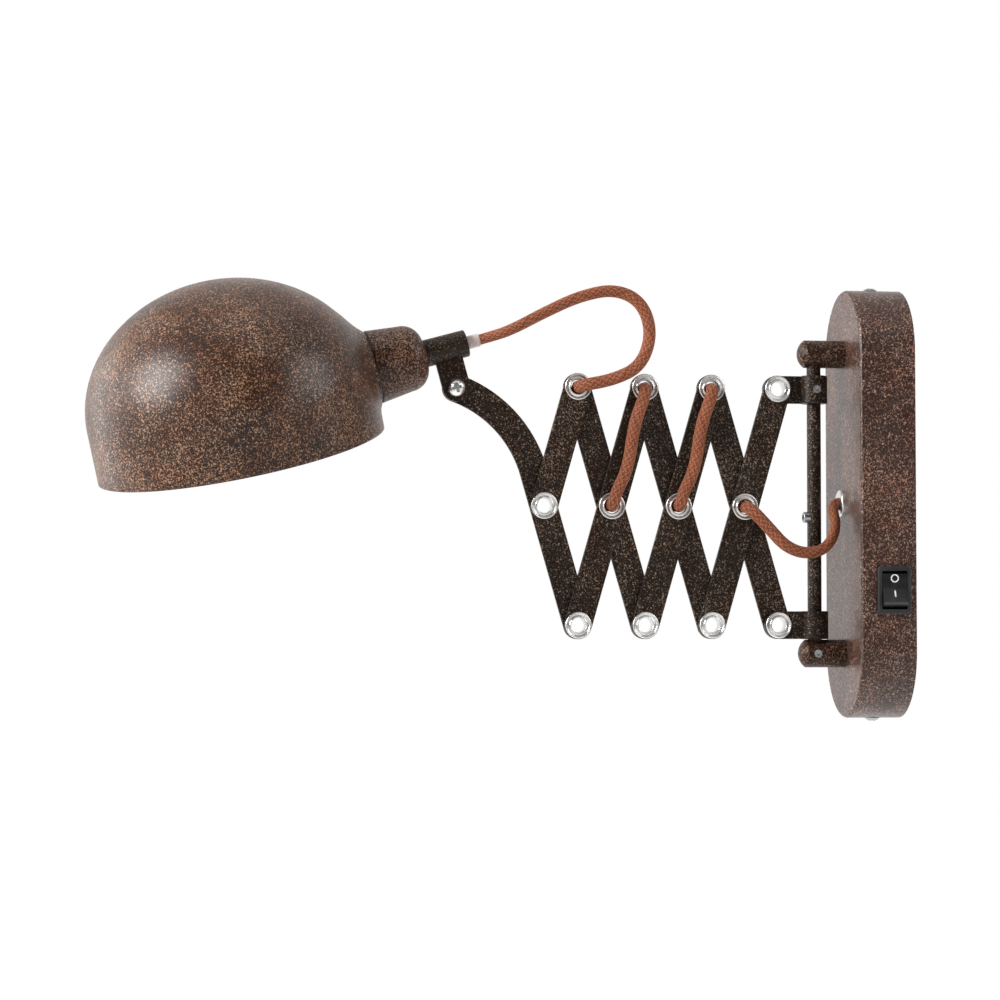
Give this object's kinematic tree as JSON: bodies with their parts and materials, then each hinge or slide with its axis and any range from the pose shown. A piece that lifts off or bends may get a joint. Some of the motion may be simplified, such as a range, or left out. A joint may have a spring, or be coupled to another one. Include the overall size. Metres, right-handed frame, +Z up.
{
  "type": "adjustable wall lamp",
  "caption": "Wall lamp with a dome shade on a tilting knuckle, carried by a scissor arm that folds and swings on an upright rod in front of an obround wall box with a rocker switch.",
  "frame": {"origin": "middle of the wall box's back, on the wall", "axes": "+Y into the wall, +Z up, +X along the wall towards the rocker switch; the arm stands out along -Y"},
  "size_m": [0.1305, 0.3641, 0.1959],
  "materials": {
    "shade_paint": "dark brown enamel with fine copper flecks",
    "arm_paint": "very dark brown enamel with sparse copper flecks",
    "plated": "nickel plate",
    "zinc": "zinc-plated steel",
    "black_plastic": "satin black",
    "rocker_plastic": "gloss black",
    "brass": "bare brass",
    "braid": "copper-brown braided textile",
    "clear_sleeve": "clear soft plastic",
    "white_plastic": "natural nylon",
    "wire_plastic": "brown wire insulation"
  },
  "bodies": {
    "wall": {"wall_cover": "arm_paint", "wall_strap": "zinc", "cover_screws": "plated", "post_upper": "arm_paint", "post_lower": "arm_paint", "post_bolts": "zinc", "pivot_rod": "arm_paint", "rod_set_screw": "plated", "stop_screw": "plated", "cord_gland": "plated", "gland_nut": "zinc", "cord_grip": "white_plastic", "cord_tail": "braid", "switch_housing": "black_plastic", "switch_terminals": "brass", "terminal_block": "white_plastic", "terminal_clamps": "brass", "terminal_screws": "brass", "earth_screw": "zinc", "wall_wires": "wire_plastic", "cord_wall_drape": "braid"},
    "rocker": {"switch_rocker": "rocker_plastic"},
    "arm_base": {"collar_lower": "arm_paint", "eyelet_lower": "plated"},
    "back_4": {"link_back_4": "arm_paint", "cord_back_4": "braid"},
    "front_4": {"link_front_4": "arm_paint", "eyelets_front_4": "plated"},
    "upper_slide": {"collar_upper": "arm_paint", "collar_set_screw": "plated"},
    "back_3": {"link_back_3": "arm_paint", "cord_back_3": "braid"},
    "front_3": {"link_front_3": "arm_paint", "eyelets_front_3": "plated", "cord_front_3": "braid"},
    "back_2": {"link_back_2": "arm_paint", "cord_back_2": "braid"},
    "front_2": {"link_front_2": "arm_paint", "eyelets_front_2": "plated", "cord_front_2": "braid"},
    "curved": {"curved_link": "arm_paint", "cord_head_loop": "braid"},
    "front_1": {"link_front_1": "arm_paint", "eyelets_front_1": "plated"},
    "head": {"shade": "shade_paint", "shade_ring": "zinc", "lampholder_body": "black_plastic", "screw_shell": "brass", "centre_contact": "brass", "socket_cup": "shade_paint", "nipple": "zinc", "nipple_nut": "zinc", "knuckle": "shade_paint", "knuckle_screw": "plated", "knuckle_washer": "plated", "knuckle_nut": "plated", "cord_sleeve": "clear_sleeve", "cord_in_head": "braid", "holder_wires": "wire_plastic"}
  },
  "joints": [
    {"name": "arm_swing", "type": "hinge", "parent": "wall", "child": "arm_base", "pos_m": [0, -0.0384, -0.05479], "axis": [0, 0, 1], "range_deg": [-80, 80], "deforming": ["cord_wall_drape"]},
    {"name": "arm_reach", "type": "hinge", "parent": "arm_base", "child": "back_4", "pos_m": [0, -0.0556, -0.05479], "axis": [1, 0, 0], "range_deg": [-9, 42.6], "deforming": ["cord_wall_drape", "cord_head_loop"]},
    {"name": "cross_4", "type": "hinge", "parent": "back_4", "child": "front_4", "pos_m": [0, -0.07082, -0.00173], "axis": [1, 0, 0], "range_deg": [-85.21, 18.01]},
    {"name": "slide_lug", "type": "hinge", "parent": "front_4", "child": "upper_slide", "pos_m": [0, -0.0556, 0.05133], "axis": [1, 0, 0], "range_deg": [-9.01, 42.61]},
    {"name": "top_3", "type": "hinge", "parent": "back_4", "child": "front_3", "pos_m": [0, -0.08603, 0.05133], "axis": [1, 0, 0], "range_deg": [-85.21, 18.01]},
    {"name": "cross_3", "type": "hinge", "parent": "front_3", "child": "back_3", "pos_m": [0, -0.10125, -0.00173], "axis": [1, 0, 0], "range_deg": [-18.01, 85.21]},
    {"name": "foot_2", "type": "hinge", "parent": "front_3", "child": "back_2", "pos_m": [0, -0.11646, -0.05479], "axis": [1, 0, 0], "range_deg": [-18.01, 85.21]},
    {"name": "cross_2", "type": "hinge", "parent": "back_2", "child": "front_2", "pos_m": [0, -0.13168, -0.00173], "axis": [1, 0, 0], "range_deg": [-85.21, 18.01]},
    {"name": "top_1", "type": "hinge", "parent": "back_2", "child": "front_1", "pos_m": [0, -0.14689, 0.05133], "axis": [1, 0, 0], "range_deg": [-85.21, 18.01]},
    {"name": "cross_1", "type": "hinge", "parent": "front_1", "child": "curved", "pos_m": [0, -0.16211, -0.00173], "axis": [1, 0, 0], "range_deg": [-18.01, 85.21]},
    {"name": "head_tilt", "type": "hinge", "parent": "curved", "child": "head", "pos_m": [0, -0.20142, 0.05031], "axis": [1, 0, 0], "range_deg": [-45, 60], "deforming": ["cord_head_loop"]},
    {"name": "switch_rock", "type": "hinge", "parent": "wall", "child": "rocker", "pos_m": [0.028, -0.0105, -0.0393], "axis": [0, 1, 0], "range_deg": [0, 20]}
  ],
  "couplings": [
    {"joint": "cross_4", "follows": "arm_reach", "ratio": -2},
    {"joint": "slide_lug", "follows": "arm_reach", "ratio": 1},
    {"joint": "top_3", "follows": "arm_reach", "ratio": -2},
    {"joint": "cross_3", "follows": "arm_reach", "ratio": 2},
    {"joint": "foot_2", "follows": "arm_reach", "ratio": 2},
    {"joint": "cross_2", "follows": "arm_reach", "ratio": -2},
    {"joint": "top_1", "follows": "arm_reach", "ratio": -2},
    {"joint": "cross_1", "follows": "arm_reach", "ratio": 2}
  ]
}
